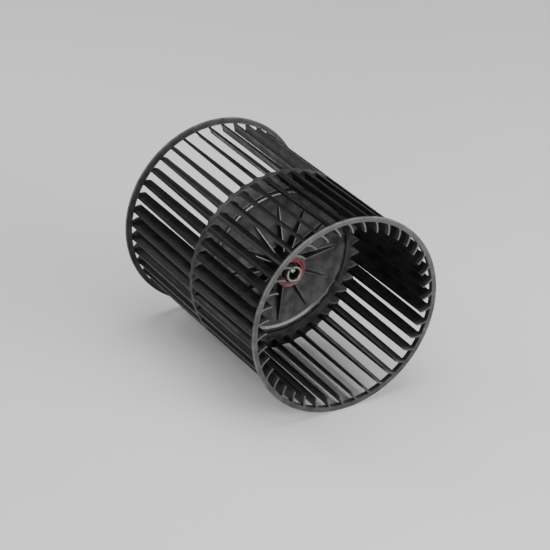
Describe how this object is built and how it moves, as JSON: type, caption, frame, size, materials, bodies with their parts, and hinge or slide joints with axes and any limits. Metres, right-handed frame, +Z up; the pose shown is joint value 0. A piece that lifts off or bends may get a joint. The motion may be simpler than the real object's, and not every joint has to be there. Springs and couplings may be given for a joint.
{
  "type": "blower motor wheel",
  "caption": "Double-inlet centrifugal blower wheel: two rows of curved vanes between end rings, joined by a ribbed centre disc with a spring-clip hub for a motor shaft.",
  "frame": {"origin": "middle of the wheel, on its axis, at the centre disc's mid-plane", "axes": "+Y along the wheel's axis, away from the end that the hub's nose points to; +Z up; +X to the right, seen from the near end at -Y"},
  "size_m": [0.15, 0.191, 0.15],
  "materials": {
    "wheel_plastic": "charcoal moulded plastic, satin sheen, slightly worn edges",
    "isolator_rubber": "crimson elastic ring, dull",
    "bush_steel": "turned steel, plain",
    "clip_steel": "bright spring steel"
  },
  "bodies": {
    "root": {"inlet_ring_near": "wheel_plastic", "inlet_ring_far": "wheel_plastic", "web_disc": "wheel_plastic", "hub_boss": "wheel_plastic", "hub_isolator": "isolator_rubber", "shaft_bush": "bush_steel", "shaft_clip": "clip_steel", "gusset_rib_01": "wheel_plastic", "gusset_rib_02": "wheel_plastic", "gusset_rib_03": "wheel_plastic", "gusset_rib_04": "wheel_plastic", "gusset_rib_05": "wheel_plastic", "gusset_rib_06": "wheel_plastic", "gusset_rib_07": "wheel_plastic", "gusset_rib_08": "wheel_plastic", "gusset_rib_09": "wheel_plastic", "gusset_rib_10": "wheel_plastic", "gusset_rib_11": "wheel_plastic", "gusset_rib_12": "wheel_plastic", "vane_pair_01": "wheel_plastic", "vane_pair_02": "wheel_plastic", "vane_pair_03": "wheel_plastic", "vane_pair_04": "wheel_plastic", "vane_pair_05": "wheel_plastic", "vane_pair_06": "wheel_plastic", "vane_pair_07": "wheel_plastic", "vane_pair_08": "wheel_plastic", "vane_pair_09": "wheel_plastic", "vane_pair_10": "wheel_plastic", "vane_pair_11": "wheel_plastic", "vane_pair_12": "wheel_plastic", "vane_pair_13": "wheel_plastic", "vane_pair_14": "wheel_plastic", "vane_pair_15": "wheel_plastic", "vane_pair_16": "wheel_plastic", "vane_pair_17": "wheel_plastic", "vane_pair_18": "wheel_plastic", "vane_pair_19": "wheel_plastic", "vane_pair_20": "wheel_plastic", "vane_pair_21": "wheel_plastic", "vane_pair_22": "wheel_plastic", "vane_pair_23": "wheel_plastic", "vane_pair_24": "wheel_plastic", "vane_pair_25": "wheel_plastic", "vane_pair_26": "wheel_plastic", "vane_pair_27": "wheel_plastic", "vane_pair_28": "wheel_plastic", "vane_pair_29": "wheel_plastic", "vane_pair_30": "wheel_plastic", "vane_pair_31": "wheel_plastic", "vane_pair_32": "wheel_plastic", "vane_pair_33": "wheel_plastic", "vane_pair_34": "wheel_plastic", "vane_pair_35": "wheel_plastic", "vane_pair_36": "wheel_plastic", "vane_pair_37": "wheel_plastic", "vane_pair_38": "wheel_plastic", "vane_pair_39": "wheel_plastic", "vane_pair_40": "wheel_plastic"}
  },
  "joints": []
}
